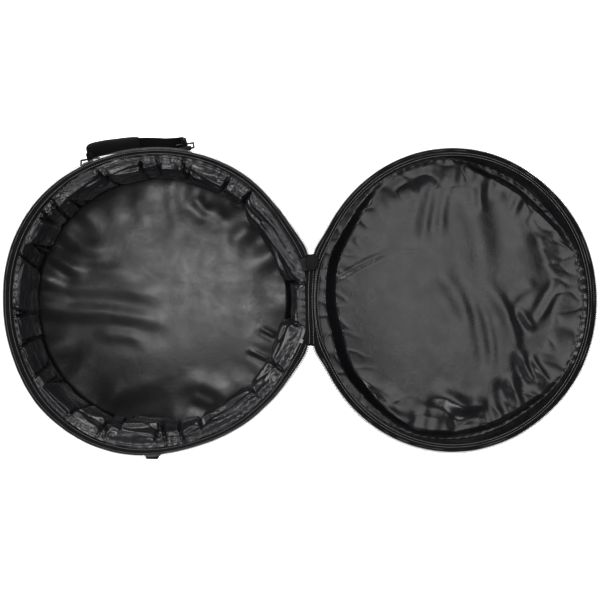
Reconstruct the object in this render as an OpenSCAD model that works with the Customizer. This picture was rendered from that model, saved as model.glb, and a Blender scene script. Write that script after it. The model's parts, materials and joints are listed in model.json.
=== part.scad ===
// Round padded zip bag for a handpan, lying open: a deep base tub, and a shallow lid hinged back onto the table.
// Frame: origin at the centre of the base's underside, +X towards the hinge and lid, +Z up, millimetres.
// The lid is drawn in its own frame, whose origin is on the hinge line, +X out along the opened lid.

/* [Base] */
// Height of the base, from the table to its zip tape
base_h = 200; // [180:1:220]
// Radius of the base at the outer edge of its zip teeth
rim_r = 282; // [278:1:284]
// Radius of the base wall just under the zip tape
wall_top_r = 277; // [274:1:280]
// Radius of the base wall at the floor seam
foot_r = 270; // [262:1:274]
// How far the base wall bulges half-way up
belly = 10; // [4:1:12]
// Thickness of the foam in the base wall
wall_foam_t = 12; // [8:1:16]
// Thickness of the foam in the base floor
floor_foam_t = 15; // [10:1:20]

/* [Lid] */
// Radius of the lid at the outer edge of its zip teeth
lid_r = 294; // [290:1:296]
// Depth of the lid, from the hinge line to its top panel
lid_d = 62; // [56:1:66]
// Radius of the lid's rolled top edge
lid_edge_r = 16; // [12:1:18]
// Thickness of the foam under the lid's top panel
lid_foam_t = 10; // [6:1:12]

/* [Zip] */
// Width of each row of coil teeth
teeth_w = 4; // [3:0.5:5]
// Thickness of the zip tape
tape_t = 1.5; // [1:0.5:2]
// Length of the zip slider along the zip
slider_len = 24; // [18:1:26]
// Length of the slider's pull
pull_len = 28; // [20:1:30]

/* [Handle] */
// Height of the handle's rings above the table
handle_z = 135; // [130:1:150]
// Width of the handle's webbing
strap_w = 28; // [20:1:30]
// Angle by which the handle droops from level
droop = 45; // [40:1:50]

/* [Hidden] */
fabric_t = 2;
seam_z = 11;
piping_r = 4;
hinge_x = 288;
hinge_z = base_h + 2;
rest_gap = 0.5;
lid_centre = 291;
lid_body_r = 272;
lid_wall_top_r = 281;
lid_wall_top = -4;
edge_w = -lid_d + lid_edge_r;
corner_x = lid_centre + lid_body_r - lid_edge_r;
lid_tilt = asin((hinge_z - lid_edge_r - rest_gap) / norm([corner_x, edge_w])) - atan(-edge_w / corner_x);
zip_end = 16.5;
park = 13.5;
slider_half = asin(slider_len / 2 / rim_r);
slider_r = 295.5;
pin_r = 288;
pin_z = base_h - 11;
anchor_r = 292;
anchor_left = 117.3;
anchor_right = 80.6;
left_bar = anchor_r * [cos(anchor_left), sin(anchor_left)];
right_bar = anchor_r * [cos(anchor_right), sin(anchor_right)];
bar_gap = norm(right_bar - left_bar);
bar_turn = atan2(right_bar[1] - left_bar[1], right_bar[0] - left_bar[0]);
ring_wire = 2;
ring_out = 15;
patch_t = 2.5;
grip_t = 14;
round_fn = 180;
wall_steps = 10;
belly_r = wall_r(0.59 * base_h);
fold_r = 1.5;
pin_wire = 1.2;

// The handle's route seen square on: along the line of its rings, and out from it.
strap_route = [
    [0, 20], [-3, 26], [-3, 34], [4, 41], [16, 43], [34, 44], [52, 43], [70, 42],
    [90, 40], [112, 36], [132, 30], [150, 24], [168, 21], [bar_gap, 20]
];
grip_first = 3;
grip_last = 8;

// Radius of the base wall's outer face at height z.
function wall_r(z) = let (t = z / base_h) foot_r + (wall_top_r - foot_r) * t + 4 * belly * t * (1 - t);

// Points of the wall's face, inset by d, from height z0 to z1.
function wall_line(d, z0, z1) =
    [for (i = [0 : wall_steps]) let (z = z0 + (z1 - z0) * i / wall_steps) [wall_r(z) - d, z]];

// The same points from the top down.
function back(points) = [for (i = [len(points) - 1 : -1 : 0]) points[i]];

// A quarter arc about c, radius r, between two angles.
function arc(c, r, a0, a1, n = 8) = [for (i = [0 : n]) let (a = a0 + (a1 - a0) * i / n) c + r * [cos(a), sin(a)]];

// Unit direction of a route at point i, and its left-hand normal.
function way(p, i) = let (d = p[min(i + 1, len(p) - 1)] - p[max(i - 1, 0)]) d / norm(d);
function side(p, i, d) = p[i] + d * [-way(p, i)[1], way(p, i)[0]];

// Outline of a band of half-width d along a route.
function band(p, d) = concat([for (i = [0 : len(p) - 1]) side(p, i, d)],
                             [for (i = [len(p) - 1 : -1 : 0]) side(p, i, -d)]);

// A flat ring with a rectangular section.
module ring(r0, r1, z0, z1, from = 0, sweep = 360) {
    rotate([0, 0, from])
        rotate_extrude(angle = sweep, $fn = round_fn)
            translate([r0, z0]) square([r1 - r0, z1 - z0]);
}

// A full ring turned from a profile.
module turned(profile) {
    rotate_extrude($fn = round_fn) polygon(profile);
}

// A round cord bent into a circle.
module round_cord(r, z, cord_r) {
    rotate_extrude($fn = round_fn) translate([r, z]) circle(cord_r, $fn = 24);
}

// Places children drawn in the lid's frame, centred on the lid.
module on_lid() {
    translate([hinge_x, 0, hinge_z])
        rotate([0, lid_tilt, 0])
            translate([lid_centre, 0, 0]) children();
}

// Places children drawn in the handle's frame: X along the ring bars, Y out, Z across the webbing.
module on_handle() {
    translate([left_bar[0], left_bar[1], handle_z])
        rotate([0, 0, bar_turn])
            rotate([-droop, 0, 0]) children();
}

module base_floor_panel() {
    color("#1b1b1d") cylinder(r = foot_r - 4, h = 3, $fn = round_fn);
}

module base_floor_foam() {
    color("#3a3a3d") translate([0, 0, 3]) cylinder(r = foot_r - 16, h = floor_foam_t, $fn = round_fn);
}

module base_floor_lining() {
    low = 3 + floor_foam_t;
    color("#4a484c") turned(concat([[0, low], [232, low]], arc([226, low + 6], 6, 0, 90, 5),
                                   [[150, low + 15], [0, low + 18]]));
}

module base_wall_shell() {
    color("#1f1f22") turned(concat(wall_line(0, seam_z, base_h - 2), back(wall_line(fabric_t, seam_z, base_h - 2))));
}

module base_wall_foam() {
    color("#3a3a3d")
        turned(concat(wall_line(fabric_t, seam_z, base_h - 2),
                      back(wall_line(fabric_t + wall_foam_t, seam_z, base_h - 2))));
}

module base_wall_lining() {
    d = fabric_t + wall_foam_t + 0.3;
    low = 3 + floor_foam_t;
    high = base_h - 7;
    color("#4a484c")
        turned(concat(wall_line(d, low, high), [[wall_r(high) - d - 8, high], [248, base_h * 0.75],
                      [242, base_h * 0.4], [236, low + 14], [234, low]]));
}

module base_floor_piping() {
    color("#111113") round_cord(foot_r - 3, 3 + piping_r, piping_r);
}

module base_rim_binding() {
    color("#161618") ring(253, wall_top_r - fabric_t - wall_foam_t, base_h - 7, base_h + 1);
}

module base_zip_tape() {
    color("#1c1c1e") ring(wall_top_r - fabric_t - wall_foam_t, rim_r - teeth_w, base_h - 2, base_h - 2 + tape_t);
}

module base_zip_teeth() {
    color("#2b2b2e")
        ring(rim_r - teeth_w, rim_r, base_h - 3, base_h + 0.5, zip_end, 360 - 2 * zip_end);
}

module zip_end_stop() {
    color("#2b2b2e") ring(rim_r - teeth_w, rim_r + 1, base_h - 4, base_h + 1, -zip_end, 1.4);
}

// Cloth sewn along the base's zip tape, rising to the rounded fold the lid turns on.
module hinge_strip() {
    color("#18181a") {
        translate([0, 0, base_h - 2])
            linear_extrude(tape_t)
                difference() {
                    translate([260, -78]) square([26, 128]);
                    circle(r = rim_r + 1.5, $fn = round_fn);
                }
        translate([0, 50, base_h - 2])
            rotate([90, 0, 0])
                linear_extrude(128)
                    polygon([[284.5, 0], [286, 0], [288.6, 3.2], [287.2, 5], [284.5, 1.5]]);
        translate([hinge_x, -78, hinge_z]) rotate([-90, 0, 0]) cylinder(r = fold_r, h = 128, $fn = 48);
    }
}

// Stitched patch on the wall below a handle ring.
module handle_patch(a) {
    ring(belly_r + 0.2, belly_r + 0.2 + patch_t, handle_z - 60, handle_z - 6, a - 5, 10);
}

// Webbing folded round a ring's bar and sewn to its patch.
module handle_tab(a) {
    r0 = belly_r + 0.3 + patch_t;
    translate([anchor_r * cos(a), anchor_r * sin(a), handle_z])
        rotate([0, 0, bar_turn])
            rotate([0, 90, 0])
                difference() {
                    cylinder(r = ring_wire + 2.5, h = 24, center = true, $fn = 48);
                    cylinder(r = ring_wire + 0.4, h = 25, center = true, $fn = 48);
                }
    ring(r0, r0 + 3, handle_z - 40, handle_z - 3, a - 2.4, 4.8);
}

// Rectangular wire ring: one bar in the tab, the other in the strap's loop.
module wire_ring() {
    half = 17;
    for (y = [0, ring_out])
        translate([-half, y, 0])
            rotate([0, 90, 0]) cylinder(r = ring_wire, h = 2 * half, $fn = 32);
    for (x = [-half, half]) {
        translate([x, 0, 0])
            rotate([-90, 0, 0]) cylinder(r = ring_wire, h = ring_out, $fn = 32);
        for (y = [0, ring_out])
            translate([x, y, 0]) sphere(r = ring_wire, $fn = 32);
    }
}

module handle_strap() {
    color("#17171a")
        on_handle() {
            translate([0, 0, -strap_w / 2]) linear_extrude(strap_w) polygon(band(strap_route, 1.6));
            for (x = [0, bar_gap])
                translate([x, ring_out, 0])
                    difference() {
                        rotate([0, 90, 0]) cylinder(r = 5.2, h = 26, center = true, $fn = 48);
                        rotate([0, 90, 0]) cylinder(r = ring_wire + 0.2, h = 27, center = true, $fn = 48);
                    }
        }
}

module handle_grip() {
    part = [for (i = [grip_first : grip_last]) strap_route[i]];
    color("#2a2a2d")
        on_handle()
            difference() {
                translate([0, 0, -strap_w / 2 - 3])
                    linear_extrude(strap_w + 6) polygon(band(part, grip_t / 2));
                translate([0, 0, -strap_w / 2 - 0.2])
                    linear_extrude(strap_w + 0.4) polygon(band(strap_route, 1.7));
            }
}

// Low webbing loop on the side away from the handle.
module side_loop() {
    color("#17171a") ring(belly_r + 0.2, 299, 118, 132, -106, 4);
}

module side_strap_tab() {
    color("#17171a")
        translate([0, 0, 112])
            linear_extrude(26)
                difference() {
                    polygon([[-37, -278], [-34, -295], [-26, -304], [-18, -305], [-4, -298], [13, -284], [10, -280]]);
                    circle(r = belly_r + 0.3, $fn = round_fn);
                }
}

module lid_top_panel() {
    c = [lid_body_r - lid_edge_r, edge_w];
    color("#1f1f22")
        on_lid()
            turned(concat([[0, -lid_d]], arc(c, lid_edge_r, -90, 0), arc(c, lid_edge_r - 3, 0, -90),
                          [[0, 3 - lid_d]]));
}

module lid_wall_shell() {
    color("#1f1f22")
        on_lid()
            turned([[lid_body_r, edge_w], [lid_wall_top_r, lid_wall_top],
                    [lid_wall_top_r - fabric_t, lid_wall_top], [lid_body_r - fabric_t, edge_w]]);
}

module lid_top_foam() {
    color("#3a3a3d")
        on_lid() translate([0, 0, 3 - lid_d]) cylinder(r = lid_body_r - lid_edge_r, h = lid_foam_t, $fn = round_fn);
}

module lid_wall_foam() {
    color("#3a3a3d")
        on_lid()
            turned([[lid_body_r - fabric_t, edge_w + 0.3], [lid_wall_top_r - fabric_t, lid_wall_top],
                    [lid_wall_top_r - 8, lid_wall_top], [lid_body_r - 8, edge_w + 0.3]]);
}

module lid_lining() {
    low = 3 - lid_d + lid_foam_t;
    color("#56545a")
        on_lid()
            turned([[0, low], [258, low], [263, -40], [268, -4.3], [261, -4.3], [242, -30], [150, -35], [0, -36]]);
}

module lid_edge_piping() {
    color("#111113") on_lid() round_cord(lid_body_r + 4.6, edge_w + 6, 3);
}

module lid_rim_binding() {
    color("#161618") on_lid() ring(262, lid_wall_top_r - 8, lid_wall_top, -1);
}

module lid_zip_tape() {
    color("#1c1c1e") on_lid() ring(lid_wall_top_r - 8, lid_r - teeth_w, -3.5, -3.5 + tape_t);
}

module lid_zip_teeth() {
    color("#2b2b2e")
        on_lid()
            difference() {
                ring(lid_r - teeth_w, lid_r, -4.5, -1, zip_end - 180, 360 - 2 * zip_end);
                translate([-lid_centre - 20, -100, -10]) cube([24, 200, 20]);
            }
}

// Slider body: two plates round the tooth row, joined outside it, with lugs for the pull below.
module zip_slider() {
    from = park - slider_half;
    color("#202022") {
        ring(rim_r - 5, slider_r, base_h + 0.9, base_h + 2.5, from, 2 * slider_half);
        ring(rim_r - 2.5, slider_r, base_h - 8, base_h - 6.4, from, 2 * slider_half);
        ring(slider_r - 6, slider_r - 2, base_h - 6.4, base_h + 0.9, from, 2 * slider_half);
        rotate([0, 0, park])
            difference() {
                for (side = [-1, 1])
                    translate([pin_r - 2.5, side * 7 - 1, pin_z - 2.5]) cube([5, 2, 5.5]);
                translate([pin_r, 0, pin_z])
                    rotate([90, 0, 0]) cylinder(r = pin_wire + 0.1, h = 20, center = true, $fn = 32);
            }
    }
}

module zip_slider_pin() {
    color("#8a8a8e")
        rotate([0, 0, park])
            translate([pin_r, 0, pin_z])
                rotate([90, 0, 0]) cylinder(r = pin_wire, h = 17, center = true, $fn = 32);
}

module zip_pull() {
    color("#101012")
        rotate([0, 0, park])
            translate([pin_r, 0, pin_z])
                difference() {
                    union() {
                        rotate([90, 0, 0]) cylinder(r = 2.6, h = 10, center = true, $fn = 32);
                        translate([-1, -5, -pull_len]) cube([2.4, 10, pull_len]);
                    }
                    rotate([90, 0, 0]) cylinder(r = 1.5, h = 12, center = true, $fn = 32);
                }
}

base_floor_panel();
base_floor_foam();
base_floor_lining();
base_wall_shell();
base_wall_foam();
base_wall_lining();
base_floor_piping();
base_rim_binding();
base_zip_tape();
base_zip_teeth();
zip_end_stop();
hinge_strip();
color("#17171a") handle_patch(anchor_left);  // handle_patch_left
color("#17171a") handle_patch(anchor_right);  // handle_patch_right
color("#17171a") handle_tab(anchor_left);  // handle_tab_left
color("#17171a") handle_tab(anchor_right);  // handle_tab_right
side_loop();
side_strap_tab();
handle_strap();
handle_grip();
color("#8a8a8e") on_handle() wire_ring();  // handle_ring_left
color("#8a8a8e") on_handle() translate([bar_gap, 0, 0]) wire_ring();  // handle_ring_right
lid_top_panel();
lid_wall_shell();
lid_top_foam();
lid_wall_foam();
lid_lining();
lid_edge_piping();
lid_rim_binding();
lid_zip_tape();
lid_zip_teeth();
zip_slider();
zip_slider_pin();
zip_pull();
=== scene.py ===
"""Looks for a round padded handpan bag lying open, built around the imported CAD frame.

Lengths are metres in the CAD frame. +X runs from the base towards the lid, +Y towards the carry handle, and +Z
is up.
Angles round the base and the lid are measured from +X, anticlockwise seen from above.
"""
import json
import math

import bpy
import numpy as np
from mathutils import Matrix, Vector


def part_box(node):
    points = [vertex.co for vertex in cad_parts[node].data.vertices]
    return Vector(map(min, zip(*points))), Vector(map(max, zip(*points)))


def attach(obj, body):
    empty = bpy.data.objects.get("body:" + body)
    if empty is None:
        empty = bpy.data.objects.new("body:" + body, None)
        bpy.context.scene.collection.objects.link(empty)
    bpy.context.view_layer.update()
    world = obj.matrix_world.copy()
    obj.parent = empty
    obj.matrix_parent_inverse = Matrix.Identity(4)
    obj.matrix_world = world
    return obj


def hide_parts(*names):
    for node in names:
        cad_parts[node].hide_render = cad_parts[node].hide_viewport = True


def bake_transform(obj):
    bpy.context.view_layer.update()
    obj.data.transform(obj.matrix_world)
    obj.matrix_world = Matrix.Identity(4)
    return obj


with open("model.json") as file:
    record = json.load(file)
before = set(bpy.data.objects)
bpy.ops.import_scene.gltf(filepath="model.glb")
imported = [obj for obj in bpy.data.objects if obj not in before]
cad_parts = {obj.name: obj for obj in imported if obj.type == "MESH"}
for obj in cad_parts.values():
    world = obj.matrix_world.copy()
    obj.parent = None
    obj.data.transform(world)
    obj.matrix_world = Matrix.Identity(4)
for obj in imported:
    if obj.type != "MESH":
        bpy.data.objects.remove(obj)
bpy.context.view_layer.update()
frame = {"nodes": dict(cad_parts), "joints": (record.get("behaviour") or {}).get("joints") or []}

# ---------------------------------------------------------------- places read from the frame
JOINT = {j["name"]: j for j in frame["joints"]}
HINGE = Vector(JOINT["lid_hinge"]["pos_m"])
TILT = math.radians(JOINT["lid_hinge"]["range_deg"][1] - 180)
TAPE_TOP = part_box("base_zip_tape")[1].z
RIM_R = -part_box("base_zip_teeth")[0].x
FOOT_R = -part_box("base_floor_piping")[0].x
FLOOR_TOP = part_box("base_floor_lining")[1].z
LID_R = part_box("lid_zip_teeth")[1].y
LID_BODY_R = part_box("lid_top_panel")[1].y
LID_C = (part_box("lid_zip_teeth")[1].x - HINGE.x + 0.001 * math.sin(TILT)) / math.cos(TILT) - LID_R

# ---------------------------------------------------------------- sizes of the soft work
COIL_PITCH = 0.0036
COIL_W = 0.0046
COIL_H = 0.0030
STITCH_PITCH = 0.0044
STITCH_SHARE = 0.72  # how much of its pitch each stitch covers
ZIP_END = math.radians(16.5)
SIDE_SEAMS = (22, -22)  # degrees
LINING_R = 0.2655
LID_LINING_R = 0.2770
LID_D = 0.062

# The puffs of the wall lining: the angle in degrees where each starts, then its reach in millimetres.
PUFFS = [
    (-174, 20), (-163, 15), (-149, 14), (-143, 17), (-126, 21), (-112, 29), (-106, 38), (-88, 35), (-81, 33),
    (-71, 38), (-43, 36), (-28, 36), (-9, 20), (8, 35), (49, 36), (59, 38), (76, 35), (88, 31), (96, 30),
    (112, 26), (131, 23), (138, 21), (144, 24), (156, 12), (164, 22),
]
PLEATS = [p[0] for p in PUFFS]
# How far the soft rim stands out of its circle: angle in degrees, then millimetres.
RIM_OUT = [
    (-180, 3), (-160, 5.5), (-150, 9), (-140, 13.5), (-128, 14.5), (-115, 15), (-100, 12), (-88, 6), (-75, 1.5),
    (-60, 2.5), (-45, 3.5), (-30, 7), (-22, 13), (-16.5, 18.5), (-10, 6), (0, 1), (10, 6), (16.5, 18.5),
    (22, 12), (30, 5), (40, 3.5), (52, 5.5), (65, 4), (78, 1.5), (95, 0), (110, 2), (125, 5.5), (140, 8),
    (155, 7.5), (170, 5), (180, 3),
]


# ---------------------------------------------------------------- maths helpers
def smooth(a, b, x):
    """0 below a, 1 above b, and an S curve between them."""
    t = np.clip((x - a) / (b - a), 0, 1)
    return t * t * (3 - 2 * t)


def turned(count, start=0.0):
    """count angles evenly once round from start."""
    return np.linspace(start, start + 2 * math.pi, count, endpoint=False)


def degrees_of(angle):
    """An angle in degrees, from -180 to 180."""
    return np.degrees((angle + math.pi) % (2 * math.pi) - math.pi)


def squared(value, power):
    """Pushes a sine or cosine outwards, which turns a circle into a rounded box."""
    return np.sign(value) * np.abs(value) ** power


def hump(x, centre, width):
    return np.exp(-((x - centre) / width) ** 2)


def ripples(seed, count, short, long):
    """A smooth field of count sine waves of seeded directions, with wavelengths from short to long."""
    rng = np.random.default_rng(seed)
    way = rng.normal(size=(count, 3))
    way /= np.linalg.norm(way, axis=1)[:, None]
    way *= (2 * math.pi / rng.uniform(short, long, count))[:, None]
    phase = rng.uniform(0, 2 * math.pi, count)

    def field(p):
        total = 0
        for w, f in zip(way, phase):
            total = total + np.sin(p @ w + f)
        return total / math.sqrt(count)

    return field


def ridged(value, sharp):
    """Turns a smooth field into narrow creases that reach 1 where the field crosses 0."""
    return 1 / (1 + (value * sharp) ** 2)


def along_line(x, y, a, b):
    """Distance from the segment a-b, signed by side, and place along it from 0 to 1."""
    d = np.array(b) - np.array(a)
    n = np.hypot(*d)
    u = ((x - a[0]) * d[0] + (y - a[1]) * d[1]) / n ** 2
    v = ((x - a[0]) * -d[1] + (y - a[1]) * d[0]) / n
    return v, u


def fold(x, y, a, b, width, height, bend=0.0):
    """A soft ridge from a to b, with a shallow valley on its right side, fading at both ends."""
    v, u = along_line(x, y, a, b)
    v = v - bend * np.sin(math.pi * np.clip(u, 0, 1))
    ends = smooth(-0.12, 0.3, u) * (1 - smooth(0.7, 1.12, u))
    ridge = np.exp(-(v / width) ** 2) - 0.55 * np.exp(-((v + 1.5 * width) / (1.1 * width)) ** 2)
    return height * ends * ridge


def lid_place(a, b, w):
    """Points given in the lid's own frame: a out from its centre, b across, w above its hinge plane."""
    a, b, w = np.broadcast_arrays(a, b, w)
    c, s = math.cos(TILT), math.sin(TILT)
    u = LID_C + a
    return np.stack([HINGE.x + u * c + w * s, b, HINGE.z - u * s + w * c], axis=-1)


def lid_polar(r, theta, w):
    return lid_place(r * np.cos(theta), r * np.sin(theta), w)


def base_place(r, phi, z):
    r, phi, z = np.broadcast_arrays(r, phi, z)
    return np.stack([r * np.cos(phi), r * np.sin(phi), z], axis=-1)


def rim_shift(phi):
    """How far the base's soft rim lies outside its circle. The cloth there has no stiff ring."""
    at, out = np.array(RIM_OUT).T
    steps = (-4, -2, 0, 2, 4)
    total = 0
    for step in steps:
        total = total + np.interp((degrees_of(phi) + step + 180) % 360 - 180, at, out)
    return total / (1000 * len(steps))


def hinge_near(phi):
    """1 beside the hinge and 0 away from it."""
    full, none = 15 * 0.55, 15 * 1.35
    return 1 - smooth(full, none, np.abs(degrees_of(phi)))


# ---------------------------------------------------------------- mesh helpers
def mesh_object(name, points, faces, run=None):
    mesh = bpy.data.meshes.new(name)
    mesh.from_pydata([tuple(p) for p in np.asarray(points, float)], [], faces)
    mesh.update()
    mesh.polygons.foreach_set("use_smooth", [True] * len(mesh.polygons))
    if run is not None:
        layer = mesh.attributes.new("run", "FLOAT_VECTOR", "POINT")
        layer.data.foreach_set("vector", np.asarray(run, np.float32).ravel())
    ob = bpy.data.objects.new(name, mesh)
    bpy.context.scene.collection.objects.link(ob)
    return ob


def grid_faces(rows, cols, wrap_rows, wrap_cols, start=0):
    i = np.arange(rows if wrap_rows else rows - 1)
    j = np.arange(cols if wrap_cols else cols - 1)
    i, j = np.meshgrid(i, j, indexing="ij")
    ni, nj = (i + 1) % rows, (j + 1) % cols
    quads = np.stack([i * cols + j, i * cols + nj, ni * cols + nj, ni * cols + j], axis=-1)
    return (quads.reshape(-1, 4) + start).tolist()


def grid_run(points):
    """Distance along the columns and the rows of a grid of points, in metres, kept by its mesh for weaves."""
    step = np.linalg.norm(np.diff(points, axis=1), axis=2)
    across = np.concatenate([np.zeros((points.shape[0], 1)), np.cumsum(step, axis=1)], axis=1)
    across = np.broadcast_to(across.mean(axis=0), across.shape)
    step = np.linalg.norm(np.diff(points, axis=0), axis=2)
    down = np.concatenate([np.zeros((1, points.shape[1])), np.cumsum(step, axis=0)], axis=0)
    return np.stack([across, down, 0 * down], axis=-1).reshape(-1, 3)


def surface(name, points, wrap_rows=False, wrap_cols=False):
    rows, cols = points.shape[:2]
    faces = grid_faces(rows, cols, wrap_rows, wrap_cols)
    return mesh_object(name, points.reshape(-1, 3), faces, grid_run(points))


def add_thickness(ob, thickness, offset=-1.0):
    mod = ob.modifiers.new("thickness", "SOLIDIFY")
    mod.thickness = thickness
    mod.offset = offset
    mod.use_even_offset = False


def apply_modifiers(ob):
    dg = bpy.context.evaluated_depsgraph_get()
    mesh = bpy.data.meshes.new_from_object(ob.evaluated_get(dg))
    ob.modifiers.clear()
    old = ob.data
    ob.data = mesh
    bpy.data.meshes.remove(old)


def disc_grid(count):
    """A square grid of points bent smoothly onto the unit disc, as (count, count) x and y."""
    line = np.linspace(-1, 1, count)
    u, v = np.meshgrid(line, line, indexing="xy")
    return u * np.sqrt(1 - v ** 2 / 2), v * np.sqrt(1 - u ** 2 / 2)


def doubled(points, axis, wrap):
    """Twice as many points along an axis, on smooth cubic curves through the old ones."""
    p = np.moveaxis(points, axis, 0)
    if wrap:
        ext = np.concatenate([p[-1:], p, p[:2]])
    else:
        ext = np.concatenate([2 * p[:1] - p[1:2], p, 2 * p[-1:] - p[-2:-1]])
    between = (9 * (ext[1:-2] + ext[2:-1]) - ext[:-3] - ext[3:]) / 16
    out = np.empty((len(p) + len(between),) + p.shape[1:])
    out[0::2] = p
    out[1::2] = between
    return np.moveaxis(out, 0, axis)


def settle(points, rest, pins, frames, cap, wrap_cols=False):
    """Runs Blender's cloth from a grid of points towards its larger rest shape and returns where it settles.

    pins is 0 where the cloth is free and 1 where it is sewn down. cap limits how far any point may move.
    """
    ob = surface("settling", points, wrap_cols=wrap_cols)
    ob.shape_key_add(name="start")
    key = ob.shape_key_add(name="rest")
    key.data.foreach_set("co", np.asarray(rest, np.float32).ravel())
    key.value = 0
    group = ob.vertex_groups.new(name="sewn")
    level = np.round(pins.ravel() * 10).astype(int)
    for k in range(1, 11):
        group.add(np.nonzero(level == k)[0].tolist(), k / 10, "REPLACE")
    mod = ob.modifiers.new("settle", "CLOTH")
    cloth = mod.settings
    cloth.quality = 5
    cloth.mass = 0.15
    cloth.tension_stiffness = 20
    cloth.compression_stiffness = 20
    cloth.shear_stiffness = 8
    cloth.bending_stiffness = 0.05
    cloth.tension_damping = 8
    cloth.compression_damping = 8
    cloth.shear_damping = 8
    cloth.air_damping = 2
    cloth.vertex_group_mass = "sewn"
    cloth.rest_shape_key = key
    cloth.effector_weights.gravity = 0.0
    mod.collision_settings.use_collision = False
    mod.point_cache.frame_start = 1
    mod.point_cache.frame_end = frames
    scene = bpy.context.scene
    for step in range(1, frames + 1):
        scene.frame_set(step)
    moved = ob.evaluated_get(bpy.context.evaluated_depsgraph_get()).to_mesh()
    found = np.empty(len(moved.vertices) * 3, np.float32)
    moved.vertices.foreach_get("co", found)
    scene.frame_set(1)
    mesh = ob.data
    bpy.data.objects.remove(ob)
    bpy.data.meshes.remove(mesh)
    step = found.reshape(points.shape) - points
    far = np.linalg.norm(step, axis=2, keepdims=True) + 1e-9
    return points + step * np.tanh(far / cap) * cap / far


def tube(points, radius, sides=5):
    """Rings of points round a path, as (rows, sides, 3). radius is one number or one per point."""
    p = np.asarray(points, float)
    t = np.gradient(p, axis=0)
    t /= np.linalg.norm(t, axis=1)[:, None] + 1e-12
    up = np.where(np.abs(t[:, 2:3]) < 0.95, np.array([[0, 0, 1.0]]), np.array([[1.0, 0, 0]]))
    n = np.cross(up, t)
    n /= np.linalg.norm(n, axis=1)[:, None]
    b = np.cross(t, n)
    a = np.arange(sides) * 2 * math.pi / sides
    r = np.broadcast_to(np.asarray(radius, float), (len(p),))[:, None, None]
    round_path = np.cos(a)[None, :, None] * n[:, None, :] + np.sin(a)[None, :, None] * b[:, None, :]
    return p[:, None, :] + r * round_path


def many(name, blocks, caps=False):
    """One mesh from many (rows, sides, 3) tubes."""
    points, faces, runs, start = [], [], [], 0
    for block in blocks:
        rows, cols = block.shape[:2]
        points.append(block.reshape(-1, 3))
        runs.append(grid_run(block))
        faces += grid_faces(rows, cols, False, True, start)
        if caps:
            faces.append([start + j for j in range(cols)][::-1])
            faces.append([start + (rows - 1) * cols + j for j in range(cols)])
        start += rows * cols
    return mesh_object(name, np.concatenate(points), faces, np.concatenate(runs))


def stitch_places(length):
    """Where each stitch starts and ends on a line of this length, as shares of it."""
    count = int(length / STITCH_PITCH)
    return [(s, s + STITCH_SHARE / count) for s in np.arange(count) / count]


def stitch_row(path, length, thick, lift):
    """Short thread capsules along path(t), t from 0 to 1, on a line of this length."""
    blocks = []
    for t0, t1 in stitch_places(length):
        p = path(np.linspace(t0, t1, 5))
        arch = np.array([0, 0.7, 1, 0.7, 0]) * lift
        p = p + np.array([0, 0, 1]) * arch[:, None]
        r = np.array([0.45, 0.95, 1, 0.95, 0.45]) * thick
        blocks.append(tube(p, r))
    return blocks


# ---------------------------------------------------------------- materials
class Look:
    """A Principled material, with short ways to add nodes. sockets are constants on the shader itself."""

    def __init__(self, name, color, rough, **sockets):
        self.mat = bpy.data.materials.new(name)
        self.mat.use_nodes = True
        self.nodes = self.mat.node_tree.nodes
        self.links = self.mat.node_tree.links
        self.shader = self.nodes["Principled BSDF"]
        self.shader.inputs["Base Color"].default_value = (*color, 1)
        self.shader.inputs["Roughness"].default_value = rough
        for key, value in sockets.items():
            self.shader.inputs[key.replace("_", " ")].default_value = value

    def add(self, kind, **inputs):
        """Adds a node. Each input is a number, or another node's output to link."""
        node = self.nodes.new("ShaderNode" + kind)
        for key, value in inputs.items():
            socket = node.inputs[key.replace("_", " ")]
            if isinstance(value, bpy.types.NodeSocket):
                self.links.new(value, socket)
            else:
                socket.default_value = value
        return node

    def where(self, space="object"):
        """Object space, or the length along and across a piece kept in its run attribute."""
        if space == "run":
            node = self.add("Attribute")
            node.attribute_name = "run"
            return node.outputs["Vector"]
        return self.add("TexCoord").outputs["Object"]

    def noise(self, where, size, detail=3.0, rough=0.55):
        node = self.add("TexNoise", Vector=where, Scale=1 / size, Detail=detail, Roughness=rough)
        return node.outputs["Fac"]

    def bands(self, where, period, direction, distortion=0.0):
        """Bands of the given period in metres. The wave texture repeats every 2 pi / 20 units at scale 1."""
        scale = 2 * math.pi / 20 / period
        node = self.add("TexWave", Vector=where, Scale=scale, Distortion=distortion)
        node.wave_type = "BANDS"
        node.bands_direction = direction
        return node.outputs["Fac"]

    def maths(self, op, a, b):
        node = self.nodes.new("ShaderNodeMath")
        node.operation = op
        for socket, value in zip(node.inputs, (a, b)):
            if isinstance(value, (int, float)):
                socket.default_value = value
            else:
                self.links.new(value, socket)
        return node.outputs["Value"]

    def mix(self, a, part_a, b, part_b):
        return self.maths("ADD", self.maths("MULTIPLY", a, part_a), self.maths("MULTIPLY", b, part_b))

    def color(self, value, dark, light):
        """Colours the surface from dark to light over a 0 to 1 field."""
        node = self.add("ValToRGB", Fac=value)
        ends = node.color_ramp.elements
        ends[0].position, ends[1].position = 0.3, 0.7
        ends[0].color, ends[1].color = (*dark, 1), (*light, 1)
        self.links.new(node.outputs["Color"], self.shader.inputs["Base Color"])

    def rough(self, value, low, high):
        """Varies the roughness from low to high over a 0 to 1 field."""
        node = self.add("MapRange", Value=value, From_Min=0.25, From_Max=0.75, To_Min=low, To_Max=high)
        self.links.new(node.outputs["Result"], self.shader.inputs["Roughness"])

    def bump(self, height, distance):
        node = self.add("Bump", Height=height, Strength=1.0, Distance=distance)
        self.links.new(node.outputs["Normal"], self.shader.inputs["Normal"])


def shade(color, k):
    return tuple(c * k for c in color)


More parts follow.
